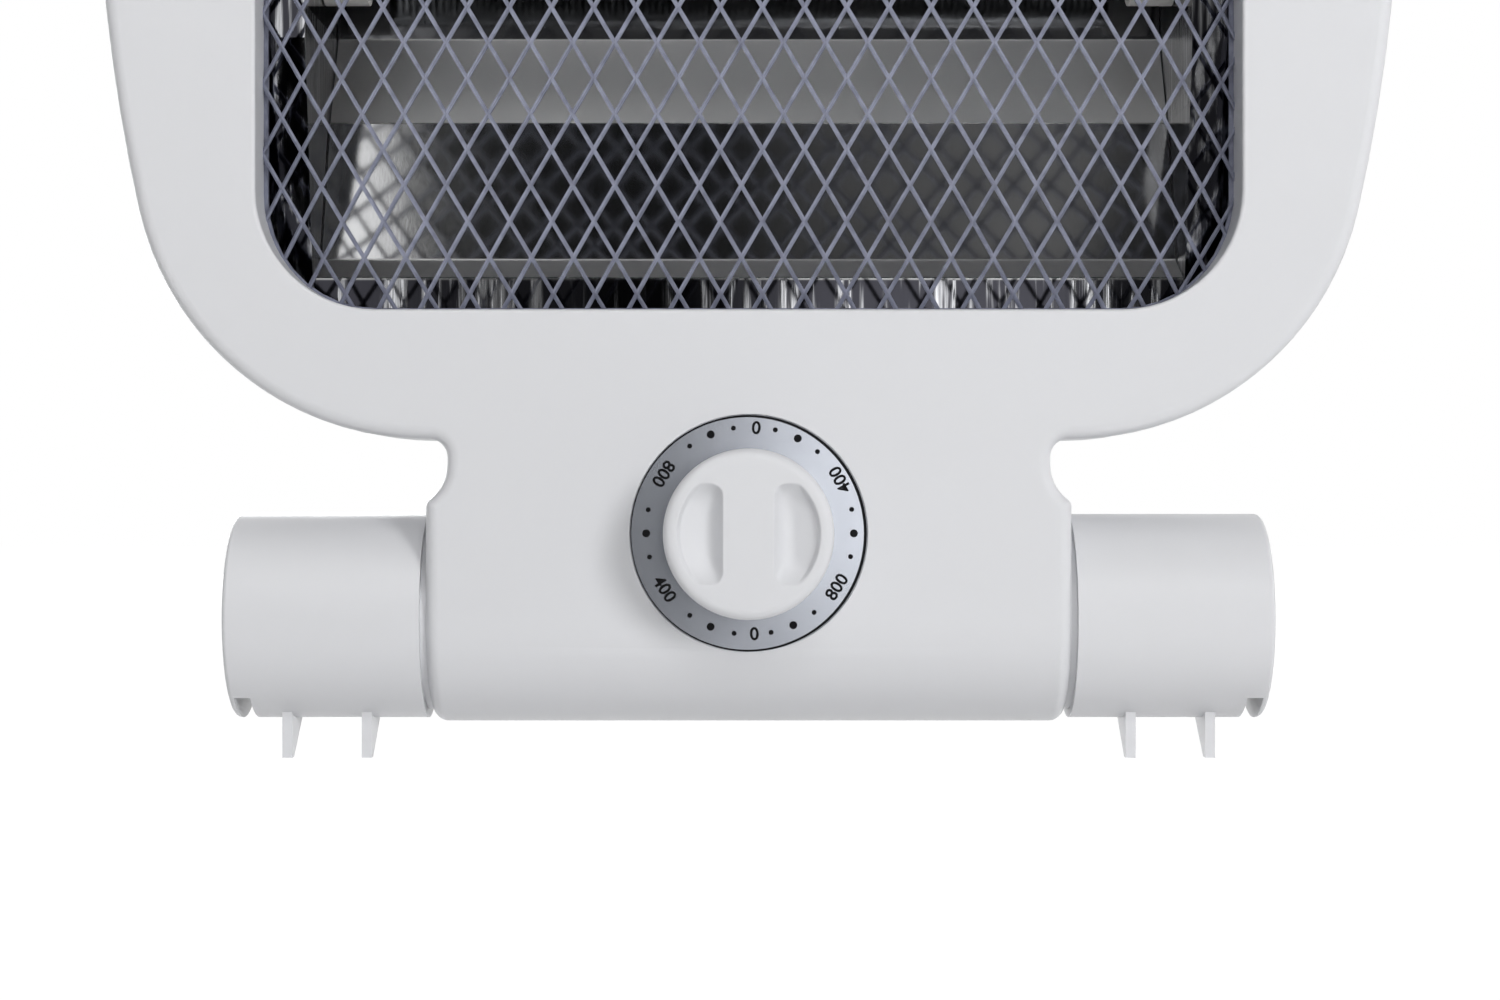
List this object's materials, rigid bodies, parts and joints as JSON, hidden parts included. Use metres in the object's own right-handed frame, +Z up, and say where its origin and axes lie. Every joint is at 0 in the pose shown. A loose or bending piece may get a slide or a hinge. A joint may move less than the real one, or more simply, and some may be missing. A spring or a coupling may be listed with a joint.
{
  "type": "quartz heater",
  "caption": "Small quartz tube room heater with a rounded head, expanded-metal guard, turning dial knob and tilting foot hubs, feet and cord left off.",
  "frame": {"origin": "bottom centre of the bounding box, level with the tips of the plug-in ribs", "axes": "+Z up, +Y towards the back, so the window and knob face -Y; +X to the right as seen from the front"},
  "size_m": [0.2948, 0.0974, 0.3535],
  "materials": {
    "white_plastic": "cool white, gloss moulded",
    "guard_paint": "lavender grey, painted expanded metal",
    "bright_sheet": "bright rolled sheet, brushed upright",
    "quartz": "clear to frosted quartz",
    "coil_wire": "oxidised resistance wire",
    "ceramic": "unglazed white ceramic",
    "dial_silver": "satin silver with black print",
    "dark_plastic": "black moulded",
    "steel": "zinc plated",
    "black_rubber": "black moulded",
    "cream_plastic": "cream moulded",
    "lead_sleeve": "woven glass sleeving"
  },
  "bodies": {
    "heater": {"front_bezel": "white_plastic", "rear_cover": "white_plastic", "guard_mesh": "guard_paint", "reflector": "bright_sheet", "reflector_end_left": "bright_sheet", "reflector_end_right": "bright_sheet", "quartz_tube_lower": "quartz", "heating_coil_lower": "coil_wire", "quartz_tube_upper": "quartz", "heating_coil_upper": "coil_wire", "ceramic_end_caps": "ceramic", "dial_plate": "dial_silver", "rotary_switch": "dark_plastic", "switch_nut": "steel", "pivot_spigot_left": "white_plastic", "pivot_spigot_right": "white_plastic", "housing_screws": "steel", "reflector_screws": "steel", "hub_screws": "steel", "hub_washers": "steel", "cord_bush": "black_rubber", "tilt_switch": "dark_plastic", "terminal_block": "cream_plastic", "thermal_cutout": "dark_plastic", "heater_leads": "lead_sleeve"},
    "knob": {"knob": "white_plastic", "switch_shaft": "steel"},
    "left_foot_hub": {"left_foot_hub": "white_plastic"},
    "right_foot_hub": {"right_foot_hub": "white_plastic"}
  },
  "joints": [
    {"name": "knob_turn", "type": "hinge", "parent": "heater", "child": "knob", "pos_m": [0, -0.03, 0.0519], "axis": [0, -1, 0], "continuous": true},
    {"name": "left_hub_tilt", "type": "hinge", "parent": "heater", "child": "left_foot_hub", "pos_m": [-0.0967, -0.00475, 0.03245], "axis": [1, 0, 0], "range_deg": [-30, 30]},
    {"name": "right_hub_tilt", "type": "hinge", "parent": "heater", "child": "right_foot_hub", "pos_m": [0.0967, -0.00475, 0.03245], "axis": [1, 0, 0], "range_deg": [-30, 30]}
  ]
}
